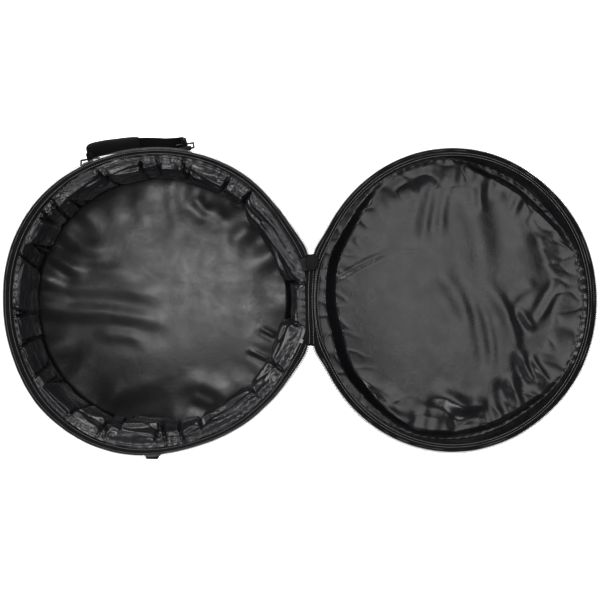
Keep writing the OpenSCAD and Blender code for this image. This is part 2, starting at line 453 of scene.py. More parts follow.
def satin(name, color, rough, crinkle):
    """Glossy lining satin: fine warp threads, faint cloudy wear, and small pressed crinkles."""
    look = Look(name, color, rough, Sheen_Weight=0.02, Sheen_Roughness=0.35, IOR=1.52, Anisotropic=0.25)
    where = look.where()
    look.color(look.noise(where, 0.07, 4), shade(color, 0.82), shade(color, 1.2))
    look.rough(look.noise(where, 0.03, 3), rough - 0.05, rough + 0.07)
    threads = look.bands(where, 0.0011, "X", 0.6)
    crease = look.noise(where, 0.016, 5, 0.6)
    look.bump(look.maths("ADD", look.maths("MULTIPLY", threads, 0.035), crease), crinkle)
    return look.mat


def woven(name, color, rough, warp, weft, depth, space="object"):
    """Plain woven cloth whose threads repeat every warp and weft metres."""
    look = Look(name, color, rough, Sheen_Weight=0.015, Sheen_Roughness=0.5, Specular_IOR_Level=0.22)
    where = look.where(space)
    a = look.bands(where, warp, "X", 0.3)
    b = look.bands(where, weft, "Y", 0.3)
    if space == "object":
        b = look.maths("MULTIPLY", b, look.bands(where, weft, "Z", 0.3))
    threads = look.maths("MAXIMUM", a, b)
    cloud = look.noise(where, 0.02, 4)
    look.color(look.mix(threads, 0.35, cloud, 0.65), shade(color, 0.6), shade(color, 1.7))
    look.rough(cloud, rough - 0.08, rough + 0.08)
    look.bump(threads, depth)
    return look.mat


def herringbone(name, color):
    """Zip tape: twill ribs that lean one way and then the other across the tape."""
    look = Look(name, color, 0.72, Sheen_Weight=0.01, Sheen_Roughness=0.5, Specular_IOR_Level=0.04)
    split = look.add("SeparateXYZ", Vector=look.where("run"))
    zig = look.maths("PINGPONG", split.outputs["Y"], 0.0022)
    join = look.add("CombineXYZ", X=look.maths("ADD", split.outputs["X"], zig))
    ribs = look.bands(join.outputs["Vector"], 0.0013, "X")
    cloud = look.noise(look.where(), 0.012, 3)
    # The light ribs, up to eight times the tape's colour, are partly the weave and partly painted glints on the
    # threads.
    look.color(look.mix(ribs, 0.6, cloud, 0.4), shade(color, 0.1), shade(color, 8.0))
    look.rough(cloud, 0.62, 0.8)
    look.bump(ribs, 0.0004)
    return look.mat


def grosgrain(name, color):
    """Binding: close ribs across its length."""
    look = Look(name, color, 0.62, Sheen_Weight=0.01, Sheen_Roughness=0.45, Specular_IOR_Level=0.04)
    ribs = look.bands(look.where("run"), 0.0012, "X")
    look.color(ribs, shade(color, 0.1), shade(color, 6.0))
    look.rough(look.noise(look.where(), 0.015, 3), 0.55, 0.7)
    look.bump(ribs, 0.0004)
    return look.mat


def moulded(name, color, rough, grain, depth, **sockets):
    """Nylon, rubber or enamel with a fine grain and slight wear."""
    look = Look(name, color, rough, **sockets)
    where = look.where()
    worn = look.noise(where, grain * 8, 3)
    look.color(worn, shade(color, 0.75), shade(color, 1.45))
    look.rough(worn, rough - 0.06, rough + 0.1)
    look.bump(look.noise(where, grain, 4), depth)
    return look.mat


MAT = {
    "satin_floor": satin("satin_floor", (0.013, 0.0126, 0.0140), 0.32, 0.0003),
    "satin_wall": satin("satin_wall", (0.014, 0.0134, 0.0155), 0.28, 0.0006),
    "satin_lid": satin("satin_lid", (0.008, 0.0076, 0.0092), 0.28, 0.0004),
    "nylon": woven("nylon", (0.009, 0.009, 0.0098), 0.6, 0.0011, 0.0011, 0.0003),
    "foam": moulded("foam", (0.05, 0.05, 0.055), 0.85, 0.0012, 0.0004),
    "webbing": woven("webbing", (0.006, 0.006, 0.0066), 0.62, 0.0030, 0.0013, 0.0006, "run"),
    "grip": woven("grip", (0.010, 0.010, 0.011), 0.66, 0.0016, 0.0016, 0.0005, "run"),
    "tape": herringbone("tape", (0.0030, 0.0030, 0.0033)),
    "binding": grosgrain("binding", (0.0030, 0.0030, 0.0033)),
    "piping": grosgrain("piping", (0.0025, 0.0025, 0.0028)),
    # The light grey thread colour is partly the thread's own colour and partly painted highlight, standing in
    # for glints on the stitches.
    "thread": moulded("thread", (0.18, 0.18, 0.172), 0.5, 0.0006, 0.0001, Sheen_Weight=0.4),
    "dark_thread": moulded("dark_thread", (0.03, 0.03, 0.031), 0.5, 0.0006, 0.0001, Sheen_Weight=0.4),
    # The coil's light grey colour is painted highlight: it stands in for the glints along the teeth.
    "coil": moulded("coil", (0.11, 0.11, 0.113), 0.28, 0.001, 0.0001, IOR=1.53),
    "enamel": moulded("enamel", (0.004, 0.004, 0.0045), 0.42, 0.0008, 0.00008, Specular_IOR_Level=0.2),
    "ring_metal": moulded("ring_metal", (0.05, 0.05, 0.053), 0.3, 0.0008, 0.00006, Metallic=1.0),
    "steel": moulded("steel", (0.45, 0.45, 0.46), 0.28, 0.0006, 0.00005, Metallic=1.0),
    "rubber": moulded("rubber", (0.003, 0.003, 0.0033), 0.6, 0.0008, 0.0002, Specular_IOR_Level=0.2),
}


def dress(ob, material, body=None, *stands_for):
    """Gives a piece its material and its body, and hides the CAD nodes it replaces."""
    ob.data.materials.clear()
    ob.data.materials.append(MAT[material])
    if body:
        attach(ob, body)
    if stands_for:
        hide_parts(*stands_for)
    return ob


# ---------------------------------------------------------------- camera, lights and floor
CAMERA_HEIGHT = 2.1
CAMERA_X = HINGE.x - 0.021
HALF_VIEW = 0.555


def camera_and_light():
    scene = bpy.context.scene
    cam = bpy.data.cameras.new("camera")
    cam.sensor_width = 36
    cam.lens = 18 * CAMERA_HEIGHT / HALF_VIEW
    eye = bpy.data.objects.new("camera", cam)
    eye.location = (CAMERA_X, 0, TAPE_TOP + CAMERA_HEIGHT)
    scene.collection.objects.link(eye)
    scene.camera = eye
    scene.view_settings.view_transform = "Standard"
    scene.view_settings.look = "None"
    scene.view_settings.gamma = 0.80

    world = bpy.data.worlds.new("studio")
    world.use_nodes = True
    world.node_tree.nodes["Background"].inputs["Color"].default_value = (1, 1, 1, 1)
    world.node_tree.nodes["Background"].inputs["Strength"].default_value = 0.16
    scene.world = world
    softboxes = [
        ("right_softbox", (1.92, 0.45, 2.2), (0.5, 0, 0.1), 2.4, 1.5, 38),
        ("overhead_softbox", (-0.06, 0.20, 3.2), (0.1, 0, 0.1), 0.8, 0.8, 30),
        ("left_softbox", (-2.0, 0.6, 1.7), (0.1, 0, 0.1), 1.2, 1.2, 42),
        ("back_softbox", (0.3, 2.3, 1.7), (0.3, 0, 0.1), 2.0, 1.0, 60),
        ("front_softbox", (0.2, -2.2, 1.9), (0.3, 0, 0.1), 2.0, 1.0, 50),
    ]
    for name, place, aim, width, height, power in softboxes:
        light = bpy.data.lights.new(name, "AREA")
        light.shape = "RECTANGLE"
        light.size, light.size_y = width, height
        light.energy = power
        lamp = bpy.data.objects.new(name, light)
        lamp.location = place
        lamp.rotation_euler = (Vector(aim) - Vector(place)).to_track_quat("-Z", "Y").to_euler()
        scene.collection.objects.link(lamp)

    corners = [(-6, -6, 0), (6, -6, 0), (6, 6, 0), (-6, 6, 0)]
    floor = mesh_object("studio_floor", corners, [[0, 1, 2, 3]])
    floor.location.z = -0.0005
    paper = Look("studio_floor", (0.92, 0.92, 0.92), 0.9,
                 Emission_Color=(1, 1, 1, 1), Emission_Strength=0.75)
    floor.data.materials.append(paper.mat)


# ---------------------------------------------------------------- base: outer shell
def wall_radius(z):
    """The base wall's resting curve: from the foot, out round the belly, to the rim."""
    t = z / TAPE_TOP
    foot, top, belly = FOOT_R - 0.001, 0.2765, 0.010
    return foot + (top - foot) * t + 4 * belly * t * (1 - t)


def base_shell():
    rows, cols = 56, 720
    phi = turned(cols)[None, :]
    z = 0.0085 + (TAPE_TOP - 0.0103 - 0.004 * hinge_near(phi)) * np.linspace(0, 1, rows)[:, None]
    near_rim = smooth(0.06, TAPE_TOP, z)
    r = wall_radius(z) + rim_shift(phi) * near_rim
    p = base_place(r, phi, z)
    slack = ripples(3, 10, 0.09, 0.30)(p * np.array([1, 1, 1.6]))
    pull = ripples(4, 12, 0.03, 0.09)(p * np.array([1, 1, 0.35]))
    inside = smooth(0.0085, 0.05, z) * (1 - smooth(0.165, TAPE_TOP, z))
    r = r + inside * (0.0016 * slack + 0.0009 * ridged(pull, 2.2)) - 0.0012
    seam = sum(hump(np.radians(degrees_of(phi - math.radians(a))), 0, 0.006) for a in SIDE_SEAMS)
    r = r - 0.0014 * seam
    shell = surface("base_shell", base_place(r, phi, z), wrap_cols=True)
    add_thickness(shell, 0.0012)
    dress(shell, "nylon", "base", "base_wall_shell")

    blocks = []
    seam_length = 0.174
    for a in SIDE_SEAMS:
        for side in (-1, 1):
            def path(t, a=a, side=side):
                zz = 0.012 + t * (TAPE_TOP - 0.034)
                ph = np.radians(a) + side * 0.011 + 0 * zz
                rr = wall_radius(zz) + rim_shift(ph) * smooth(0.06, TAPE_TOP, zz) + 0.0001
                return base_place(rr, ph, zz)
            blocks += stitch_row(path, seam_length, thick=0.00045, lift=0.0)
    dress(many("side_seam_stitches", blocks, caps=True), "dark_thread", "base")


def base_bottom():
    """Floor panel of the shell: a flat disc with a rolled edge and a stitched reinforcing ring."""
    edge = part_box("base_floor_panel")[1].x
    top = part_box("base_floor_panel")[1].z
    phi = turned(360)
    profile = [
        (0.0005, top), (0.30 * edge, top), (0.7 * edge, top), (edge - 0.002, top), (edge - 0.0004, top * 0.75),
        (edge, top * 0.5), (edge - 0.0004, top * 0.2), (edge - 0.0015, 0.0), (0.9 * edge, 0.0),
        (0.86 * edge, 0.0), (0.855 * edge, 0.0008), (0.845 * edge, 0.0008), (0.84 * edge, 0.0),
        (0.5 * edge, 0.0), (0.0005, 0.0),
    ]
    p = np.stack([base_place(r, phi, z) for r, z in profile])
    dress(surface("base_bottom", p, wrap_cols=True), "nylon", "base", "base_floor_panel")


def rope(name, radius, height, thick, material, body, node, place=base_place):
    """Corded piping: a round cord under ribbed cloth, pinched a little at its inner and outer sides."""
    phi = turned(540)
    a = turned(12)
    pinch = 1 - 0.12 * np.cos(a) ** 4
    r = radius + (thick * pinch * np.cos(a))[:, None]
    z = height + (thick * pinch * np.sin(a))[:, None]
    ob = surface(name, place(r, phi[None, :], z), wrap_rows=True, wrap_cols=True)
    return dress(ob, material, body, node)


# ---------------------------------------------------------------- zips
def coil_row(name, path, length, body, node):
    """A coil of nylon filament. path(t) gives points and their outward and upward directions."""
    turns = int(length / COIL_PITCH)
    per_turn = 10
    t = np.arange(turns * per_turn + 1) / (turns * per_turn)
    centre, out, up = path(t)
    a = 2 * math.pi * np.arange(len(t)) / per_turn
    wave = np.cos(a)
    bulb = 1 + 0.18 * smooth(0.4, 1, wave)
    p = centre + out * (0.5 * COIL_W * wave)[:, None] + up * (0.5 * COIL_H * np.sin(a) * bulb)[:, None]
    ring = tube(p, 0.00052 * (1 + 0.35 * smooth(0.5, 1, wave)))
    row = many(name, [ring], caps=True)
    return dress(row, "coil", body, node)


def zip_turn(t):
    """The angle at share t of the zip, which leaves out the hinge."""
    return ZIP_END + t * (2 * math.pi - 2 * ZIP_END)


def tape_inner(phi):
    """Inner edge of the base's tape: narrow on the flanks and beside the hinge."""
    deg = np.abs(degrees_of(phi))
    flank = smooth(150, 110, deg) * smooth(16, 40, deg)
    return LINING_R + 0.8 * rim_shift(phi) + 0.0035 * flank + 0.0115 * hinge_near(phi)


def base_zip():
    def path(t):
        phi = zip_turn(t)
        p = base_place(RIM_R - 0.0022 + rim_shift(phi), phi, TAPE_TOP)
        out = np.stack([np.cos(phi), np.sin(phi), 0 * phi], axis=-1)
        return p, out, np.broadcast_to([0, 0, 1.0], p.shape)

    length = (RIM_R - 0.003) * (2 * math.pi - 2 * ZIP_END)
    coil_row("base_teeth", path, length, "base", "base_zip_teeth")

    rows, cols = 14, 900
    phi = turned(cols)[None, :]
    across = np.linspace(0, 1, rows)[:, None]
    outer = RIM_R - 0.0030 + rim_shift(phi)
    inner = tape_inner(phi)
    r = inner + (outer - inner) * across
    z = TAPE_TOP - 0.0004 - 0.0025 * (1 - across) ** 1.5
    p = base_place(r, phi, z)
    z = z + 0.0006 * ripples(12, 8, 0.02, 0.07)(p) * np.sin(math.pi * across)
    tape = surface("base_tape", base_place(r, phi, z), wrap_cols=True)
    add_thickness(tape, 0.0009)
    dress(tape, "tape", "base", "base_zip_tape")

    blocks = []
    tape_length = 1.62
    for share, lift in ((0.72, 0.0002), (0.16, -0.0014)):
        def line(t, share=share, lift=lift):
            ph = zip_turn(t)
            outer, inner = RIM_R - 0.003 + rim_shift(ph), tape_inner(ph)
            return base_place(inner + (outer - inner) * share, ph, TAPE_TOP + lift)
        blocks += stitch_row(line, tape_length, thick=0.00042, lift=0.0005)
    dress(many("base_tape_stitches", blocks, caps=True), "thread", "base")


# ---------------------------------------------------------------- base: lining
def pleat_place(deg):
    """For each angle: its place across its puff from 0 to 1, and the puff's number and width in degrees."""
    edges = np.array(PLEATS + [PLEATS[0] + 360], float)
    turn = (deg - edges[0]) % 360 + edges[0]
    k = np.clip(np.searchsorted(edges, turn, side="right") - 1, 0, len(PLEATS) - 1)
    width = edges[k + 1] - edges[k]
    return (turn - edges[k]) / width, k, width


def puffed(r, z, amount):
    """Moves a turned profile's points along its normal, which points into the tub."""
    dr, dz = np.gradient(r, axis=0), np.gradient(z, axis=0)
    size = np.hypot(dr, dz) + 1e-9
    return r + dz / size * amount, z - dr / size * amount


def lining_limit(r, phi, z):
    """Keeps the wall lining inside the wall's padding."""
    above = 0.05 * smooth(0.184, 0.190, z)
    return np.minimum(r, wall_radius(z) + rim_shift(phi) * smooth(0.06, TAPE_TOP, z) - 0.0128 + above)


def wall_lining():
    """The satin wall lining, gathered to the zip tape and hanging in puffs over the floor's edge."""
    rows, cols = 48, 448
    s = np.linspace(0, 1, rows)[:, None]
    phi = turned(cols, -math.pi)[None, :]
    rng = np.random.default_rng(7)
    count = len(PUFFS)
    level = [0, 0.05, 0.12, 0.22, 0.35, 0.50, 0.62, 0.74, 0.84, 0.92, 1.0]
    share = np.interp(s, level, [0, 0.14, 0.42, 0.70, 0.90, 0.98, 1.0, 0.98, 0.95, 0.85, 0.60])
    drops = [0.1968, 0.1935, 0.1945, 0.1885, 0.1730, 0.148, 0.120, 0.092, 0.068, 0.049, 0.033]
    height = np.interp(s, level, drops)
    deg = np.degrees(phi)
    tilt = rng.uniform(-3.5, 3.5, count)
    t, k, width = pleat_place(deg)
    t, k, width = pleat_place(deg + tilt[k] * (s - 0.5) * 2)
    puff = np.sqrt(np.clip(1 - np.abs(2 * t - 1) ** 8, 0, 1))
    turn = np.abs(deg)
    slimmer = 0.002 + 0.002 * smooth(95, 165, turn) + 0.003 * (1 - smooth(20, 60, turn))
    reach = np.array([p[1] for p in PUFFS])[k] / 1000 - slimmer
    low_reach = reach - (1 - puff) * np.maximum(0.012, 0.75 * reach)
    top = tape_inner(phi) - 0.0004
    r = top + (LINING_R - low_reach - top) * share
    z = height + 0 * phi
    body = smooth(0.03, 0.16, s) * (1 - smooth(0.9, 1.0, s))

    # Long folds along each puff, hard little creases where it is drawn in, and crushed facets between.
    swell = 0
    for n in range(3):
        centre = rng.uniform(0.14, 0.62, count)[k] + rng.uniform(-0.2, 0.2, count)[k] * (t - 0.5)
        wide = rng.uniform(0.025, 0.06, count)[k]
        high = rng.uniform(0.0020, 0.0046, count)[k] * rng.choice([-1, 1, 1], count)[k]
        swell = swell + high * hump(s, centre, wide) * puff
    ring = base_place(0.25, phi, 0 * s)
    long_way = ring * np.array([0.45, 0.45, 0]) + np.array([0, 0, 1.0]) * (s * 0.20)[..., None]
    swell = swell - 0.0030 * (ridged(ripples(22, 16, 0.030, 0.08)(long_way), 3.0) - 0.25)
    near_pleat = np.exp(-np.minimum(t, 1 - t) * width / 1.8)
    across = ring + np.array([0, 0, 1.0]) * (s * 0.10)[..., None]
    swell = swell + 0.0026 * near_pleat * ripples(21, 14, 0.010, 0.028)(across)
    # Tension folds run along the long upper flank and into the hinge's corner.
    flank = smooth(6, 16, deg) * (1 - smooth(40, 50, deg))
    for low, slope, high in ((0.10, 0.003, 0.0050), (0.24, 0.006, 0.0065), (0.42, 0.006, 0.0055)):
        swell = swell + flank * high * hump(s, low + slope * (deg - 28), 0.03)
    r, z = puffed(r, z, swell * body)
    drop = rng.uniform(-0.007, 0.007, count)[k] * puff
    z = z + drop * smooth(0.45, 0.82, s) * (1 - smooth(0.9, 1, s))
    start = base_place(lining_limit(r, phi, z), phi, z)

    rest = start * np.array([1.07, 1.07, 1.16])
    seam = np.exp(-(np.minimum(t, 1 - t) * width / 0.6) ** 2) * body
    sewn = np.clip(0.9 * seam + (1 - smooth(0.0, 0.03, s)) + smooth(0.93, 0.97, s), 0, 1)
    p = settle(start, rest, sewn, 18, 0.007, wrap_cols=True)
    p = doubled(doubled(p, 0, False), 1, True)

    # A hard crease down each pleat, small ruffles at the gathering seam, and slight crushing.
    s2 = np.linspace(0, 1, p.shape[0])[:, None]
    r2 = np.hypot(p[..., 0], p[..., 1])
    phi2 = np.arctan2(p[..., 1], p[..., 0])
    deg2 = np.degrees(phi2)
    t, k, width = pleat_place(deg2)
    t, k, width = pleat_place(deg2 + tilt[k] * (s2 - 0.5) * 2)
    crease = -0.0065 * np.exp(-(np.minimum(t, 1 - t) * width / 0.55) ** 2)
    crease = crease * smooth(0.03, 0.12, s2) * (1 - smooth(0.88, 0.97, s2))
    ring = base_place(0.26, phi2, 0)
    gather = np.sin(deg2 * 1.9 + 4.0 * ripples(23, 6, 0.05, 0.2)(ring))
    fine = -0.0003 * (ridged(ripples(25, 18, 0.010, 0.030)(p), 2.6) - 0.3)
    amount = crease + 0.0004 * gather * hump(s2, 0.07, 0.06) + fine * smooth(0.05, 0.15, s2)
    r2, z2 = puffed(r2, p[..., 2], amount)
    r2 = lining_limit(r2, phi2, z2)
    lining = surface("base_wall_lining_satin", base_place(r2, phi2, z2), wrap_cols=True)
    dress(lining, "satin_wall", "base", "base_wall_lining")


def gather_seam():
    """The rolled, ruffled top edge of the wall lining, sewn to the tape with a row of dark thread."""
    phi = turned(1440)
    ring = base_place(0.262, phi, 0)
    wave = ripples(41, 10, 0.014, 0.05)(ring)
    slow = ripples(42, 6, 0.05, 0.2)(ring)
    centre = tape_inner(phi) - 0.0008 + 0.0010 * wave + 0.0008 * slow
    high = TAPE_TOP - 0.0036 + 0.0006 * wave
    a = turned(10)[:, None]
    thick = 0.0010 + 0.0004 * wave
    p = base_place(centre + thick * np.cos(a), phi, high + 0.8 * thick * np.sin(a))
    dress(surface("base_gather_seam", p, True, True), "piping", "base", "base_rim_binding")


# Soft folds of the floor lining: start, end, width, height and bend, in metres.
FLOOR_FOLDS = [
    ((-0.235, 0.066), (-0.060, 0.046), 0.013, 0.0052, 0.006),
    ((-0.235, 0.026), (-0.015, 0.008), 0.013, 0.0060, 0.008),
    ((-0.240, -0.024), (0.000, -0.046), 0.012, 0.0062, 0.010),
    ((-0.140, -0.066), (-0.045, -0.076), 0.010, 0.0036, 0.003),
    ((-0.240, 0.108), (-0.165, 0.052), 0.010, 0.0062, -0.006),
    ((-0.225, 0.140), (-0.120, 0.088), 0.014, 0.0036, 0.0),
    ((-0.215, 0.095), (-0.100, 0.100), 0.012, 0.0028, 0.0),
    ((0.040, -0.160), (0.135, -0.205), 0.014, 0.0058, 0.006),
    ((0.050, -0.190), (0.100, -0.215), 0.008, 0.0045, 0.0),
    ((-0.125, -0.205), (-0.015, -0.160), 0.014, 0.0034, 0.0),
    ((0.185, -0.054), (0.222, -0.074), 0.004, 0.0040, 0.0),
    ((0.163, -0.098), (0.210, -0.122), 0.004, 0.0040, 0.0),
    ((0.128, 0.112), (0.172, 0.146), 0.012, 0.0040, 0.004),
    ((0.055, 0.205), (0.088, 0.168), 0.008, 0.0045, 0.0),
    ((0.008, 0.215), (0.028, 0.130), 0.012, 0.0028, 0.0),
    ((0.085, 0.190), (0.125, 0.150), 0.010, 0.0030, 0.0),
    ((-0.060, 0.215), (-0.040, 0.150), 0.012, 0.0024, 0.0),
]


def floor_lining():
    """The padded floor of the base: crowned, drawn down at the wall, with soft folds pulled from its edge."""
    gx, gy = disc_grid(240)
    lean = np.array([-0.007, -0.003])
    reach = 0.2590
    x, y = reach * gx + lean[0], reach * gy + lean[1]
    r = reach * np.hypot(gx, gy)
    phi = np.arctan2(gy, gx)
    p = np.stack([x, y, 0 * x], axis=-1)
    edge = smooth(0.246, 0.259, r)
    z = FLOOR_TOP - 0.001 - 0.004 * (r / 0.25) ** 2 - 0.0050 * edge
    z = z + 0.0011 * ripples(51, 8, 0.16, 0.40)(p)
    for a, b, width, height, bend in FLOOR_FOLDS:
        z = z + 0.42 * fold(x, y, a, b, 1.45 * width, height, bend)
    around = base_place(0.25, phi, 0.2 * r)
    z = z + 0.0018 * ripples(52, 12, 0.030, 0.075)(around) * smooth(0.17, 0.235, r)
    ob = surface("base_floor_cushion", np.stack([x, y, z], axis=-1))
    add_thickness(ob, 0.009)
    dress(ob, "satin_floor", "base", "base_floor_lining")


def turned_pad(name, profile, body, node, place, seed):
    """A ring or disc of soft foam: a rounded closed profile turned round, with slight unevenness."""
    phi = turned(240)
    uneven = 0.0005 * ripples(seed, 8, 0.05, 0.2)(base_place(0.26, phi, 0))
    p = np.stack([place(r + uneven, phi, h) for r, h in profile])
    pad = dress(surface(name, p, True, True), "foam", body, node)


def foam_pads():
    """The four pads inside the covers. They show only where a cover stands off."""
    z = np.linspace(0.013, 0.186, 16)
    outer = [(wall_radius(h) - 0.0035, h) for h in z]
    inner = [(wall_radius(h) - 0.0120, h) for h in z[::-1]]
    rounded = [(wall_radius(0.188) - 0.006, 0.188), (wall_radius(0.188) - 0.010, 0.188)]
    turned_pad("base_wall_padding", outer + rounded + inner, "base", "base_wall_foam", base_place, 101)
    low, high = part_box("base_floor_foam")[0].z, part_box("base_floor_foam")[1].z
    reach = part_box("base_floor_foam")[1].x
    disc = [(0.002, low), (reach - 0.004, low), (reach, low + 0.004), (reach, high - 0.005),
            (reach - 0.004, high - 0.001), (0.002, high - 0.001)]
    turned_pad("base_floor_padding", disc, "base", "base_floor_foam", base_place, 102)
    slant = [(0.2704, -0.044), (0.2776, -0.011), (0.2770, -0.0095), (0.2763, -0.0095), (0.2757, -0.011),
             (0.2684, -0.044), (0.2688, -0.0455), (0.2698, -0.0455)]
    turned_pad("lid_wall_padding", slant, "lid", "lid_wall_foam", lid_polar, 103)
    disc = [(0.002, -0.0590), (0.250, -0.0590), (0.254, -0.0565), (0.254, -0.0520), (0.250, -0.0500),
            (0.002, -0.0500)]
    turned_pad("lid_top_padding", disc, "lid", "lid_top_foam", lid_polar, 104)


# ---------------------------------------------------------------- lid
def lid_out(theta):
    """How far the lid's soft rim stands out of its circle: at the far side and at the hinge's two ends."""
    deg = np.abs(degrees_of(theta))
    return 0.0055 * (1 - smooth(20, 60, deg)) + 0.0075 * hump(deg, 163, 6)


def ring_radius(r, theta):
    """Radius of a line of the lid's ring, which is r except beside the hinge, where the ring narrows."""
    near = hinge_near(theta + math.pi)
    tight = LID_C - 0.0100 + (r - 0.2700) * 0.36
    share = np.clip((r - 0.2700) / 0.0215, 0, 1)
    return r + (tight - r) * near + lid_out(theta) * share


def lid_zip():
    def path(t):
        theta = zip_turn(t) - math.pi
        r = ring_radius(LID_R, theta) - 0.0024
        p = lid_polar(r, theta, -0.0022)
        out = lid_polar(r + 1, theta, -0.0022) - p
        up = lid_polar(r, theta, 1) - lid_polar(r, theta, 0)
        return p, out, up

    coil_row("lid_teeth", path, LID_R * (2 * math.pi - 2 * ZIP_END), "lid", "lid_zip_teeth")

    rows, cols = 16, 900
    theta = turned(cols, -math.pi)[None, :]
    across = np.linspace(0, 1, rows)[:, None]
    r = ring_radius(0.2780 + (LID_R - 0.0030 - 0.2780) * across, theta)
    wave = ripples(61, 8, 0.03, 0.1)(base_place(r, theta, 0))
    w = -0.0024 - 0.0012 * (1 - across) + 0.0007 * wave * np.sin(math.pi * across)
    tape = surface("lid_tape", lid_polar(r, theta, w), wrap_cols=True)
    add_thickness(tape, 0.0009)
    dress(tape, "tape", "lid", "lid_zip_tape")


def lid_binding():
    """Folded grosgrain binding sewn over the lid's inner seam, with two rows of lighter stitches whose colour
    is partly painted highlight.
    """
    theta = turned(900, -math.pi)
    wave = ripples(62, 8, 0.03, 0.12)(base_place(0.27, theta, 0))
    profile = [(0.2756, -0.0052), (0.2757, -0.0030), (0.2766, -0.0016), (0.2786, -0.0010), (0.2808, -0.0010),
               (0.2824, -0.0018), (0.2828, -0.0030), (0.2820, -0.0042), (0.2786, -0.0052)]
    p = np.stack([lid_polar(ring_radius(r + 0.0006 * wave, theta), theta, w + 0.0003 * wave)
                  for r, w in profile])
    dress(surface("lid_binding", p, True, True), "binding", "lid", "lid_rim_binding")

    blocks = []
    for r0, w0 in ((0.2772, -0.0012), (0.2816, -0.0012), (0.2868, -0.0026)):
        def path(t, r0=r0, w0=w0):
            th = -math.pi + t * 2 * math.pi
            return lid_polar(ring_radius(r0, th), th, w0)
        blocks += stitch_row(path, 2 * math.pi * r0, thick=0.00050, lift=0.0004)
    dress(many("lid_stitches", blocks, caps=True), "thread", "lid")


# Folds of the lid's lining in the lid's own frame: start, end, width, height and bend, in metres.
LID_FOLDS = [
    ((0.020, 0.236), (0.064, 0.020), 0.024, 0.0062, 0.010),
    ((0.066, 0.040), (0.122, -0.140), 0.016, 0.0066, 0.014),
    ((0.046, 0.020), (0.086, -0.140), 0.012, 0.0058, 0.010),
    ((-0.034, 0.060), (0.040, -0.050), 0.016, 0.0044, 0.006),
    ((0.098, 0.010), (0.140, -0.120), 0.010, 0.0036, 0.006),
    ((-0.028, 0.236), (-0.066, 0.110), 0.012, 0.0046, -0.004),
    ((-0.006, 0.238), (-0.028, 0.120), 0.010, 0.0040, -0.004),
    ((0.052, 0.232), (0.060, 0.170), 0.010, 0.0044, 0.0),
    ((-0.252, 0.026), (-0.125, 0.094), 0.005, -0.0032, 0.006),
    ((-0.125, 0.092), (-0.060, 0.094), 0.004, -0.0016, 0.0),
    ((0.120, -0.004), (0.172, 0.036), 0.011, 0.0030, 0.004),
    ((0.172, 0.036), (0.160, -0.030), 0.016, 0.0030, 0.0),
    ((0.234, 0.040), (0.176, -0.046), 0.008, 0.0044, 0.0),
    ((0.136, -0.014), (0.172, -0.060), 0.008, 0.0050, 0.0),
    ((0.205, 0.160), (0.232, 0.050), 0.016, 0.0060, 0.0),
    ((0.130, 0.215), (0.150, 0.100), 0.022, 0.0040, 0.0),
    ((0.140, -0.100), (0.172, -0.172), 0.009, 0.0066, 0.0),
    ((0.165, -0.110), (0.196, -0.165), 0.007, 0.0060, 0.0),
    ((0.118, -0.150), (0.140, -0.225), 0.012, 0.0110, 0.0),
    ((-0.048, -0.180), (0.040, -0.236), 0.014, 0.0120, 0.012),
    ((-0.010, -0.205), (0.070, -0.205), 0.014, 0.0105, 0.0),
    ((-0.190, -0.190), (-0.080, -0.236), 0.012, 0.0100, 0.0),
    ((-0.160, -0.165), (-0.090, -0.205), 0.010, 0.0036, 0.0),
    ((-0.220, -0.130), (-0.150, -0.170), 0.012, 0.0030, 0.0),
]


